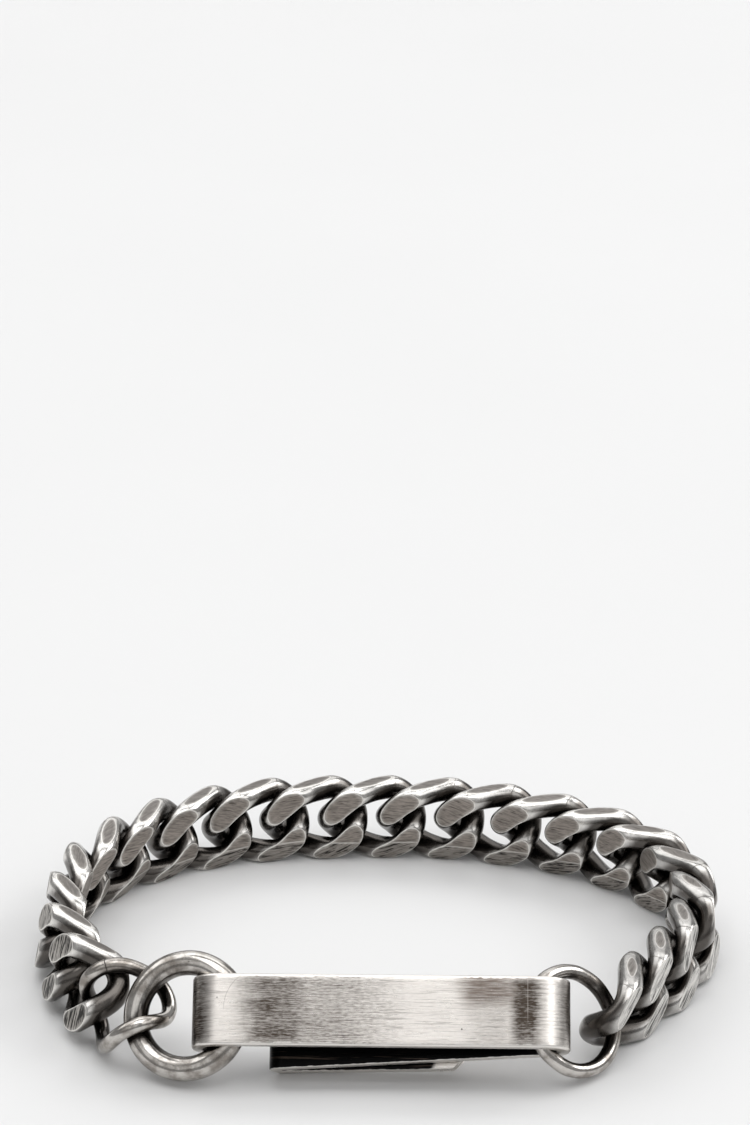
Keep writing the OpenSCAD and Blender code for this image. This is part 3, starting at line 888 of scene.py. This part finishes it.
studio = {
    "floor": (0.69, 0.69, 0.69, 1), "fibre": (0.68, 0.68, 0.68, 1),
    "floorEnds": ((-4.0, -3.0), (4.0, 5.0)),    # in metres
    "air": 0.32,    # strength of the even light from all round
    # place in metres, size in metres, watts
    "lights": {
        "overhead_softbox": ((0, -0.35, 2.0), (1.7, 1.4), 18.0),
        "right_softbox": ((1.60, 0.55, 1.35), (1.5, 1.0), 17.5),
        "front_right_softbox": ((1.25, -1.05, 1.47), (1.1, 1.2), 6.0),
        "left_back_softbox": ((-1.28, 0.74, 1.64), (1.8, 1.4), 12.5),
        "front_card": ((-0.6, -1.7, 1.35), (2.4, 1.2), 5.0),
        "back_card": ((0, 2.4, 1.5), (2.2, 1.6), 8.5),
        "high_back_softbox": ((0.20, 1.25, 1.95), (1.8, 0.8), 7.0),
    },
    "cameraPlace": (-0.00025, -0.375, 0.22533), "cameraTilt": 25.2357, "focalPixels": 3967.74,
    "imageHeight": 1125, "sensorHeight": 36, "nearClip": 0.01,
}


# Flat pale paper with a faint fibre
def makeFloor():
    material, tree, shader = newMaterial("palePaper", roughness=0.7, metallic=0.0)
    where = addNode(tree, "ShaderNodeTexCoord", (0, 0)).outputs["Object"]
    share = remap(tree, (2, 0), cloudy(tree, (1, 0), where, 9.0, 3.0), 0.3, 0.7)
    pale = blendColours(tree, (3, 0), share, studio["floor"], studio["fibre"])
    tree.links.new(pale, shader.inputs["Base Color"])
    mesh = bpy.data.meshes.new("studio_floor")
    (left, front), (right, back) = studio["floorEnds"]
    corners = [(left, front, 0.0), (right, front, 0.0), (right, back, 0.0), (left, back, 0.0)]
    mesh.from_pydata(corners, [], [(0, 1, 2, 3)])
    floor = bpy.data.objects.new("studio_floor", mesh)
    bpy.context.scene.collection.objects.link(floor)
    mesh.materials.append(material)


# Rectangular soft light that points at the bracelet
def softLight(name, place, size, watts):
    lamp = bpy.data.lights.new(name, "AREA")
    lamp.shape, lamp.size, lamp.size_y, lamp.energy = "RECTANGLE", size[0], size[1], watts
    holder = bpy.data.objects.new(name, lamp)
    bpy.context.scene.collection.objects.link(holder)
    holder.location = place
    away = np.array(place) / np.linalg.norm(place)
    holder.rotation_euler = (math.acos(away[2]), 0, math.atan2(away[1], away[0]) + math.pi / 2)


makeFloor()
for name, (place, size, watts) in studio["lights"].items():
    softLight(name, place, size, watts)
world = bpy.data.worlds.new("studio_air")
world.use_nodes = True
air = world.node_tree.nodes["Background"].inputs
air["Color"].default_value = (1, 1, 1, 1)
air["Strength"].default_value = studio["air"]
bpy.context.scene.world = world

lens = bpy.data.cameras.new("photo_view")
lens.sensor_width = studio["sensorHeight"]    # the longer side of the picture, its height
lens.lens = studio["focalPixels"] / studio["imageHeight"] * studio["sensorHeight"]
lens.clip_start = studio["nearClip"]
camera = bpy.data.objects.new("photo_view", lens)
bpy.context.scene.collection.objects.link(camera)
camera.location = studio["cameraPlace"]
camera.rotation_euler = (math.pi / 2 - math.radians(studio["cameraTilt"]), 0, 0)
bpy.context.scene.camera = camera
bpy.context.scene.view_settings.view_transform = "Standard"
print("floor, light and camera made")
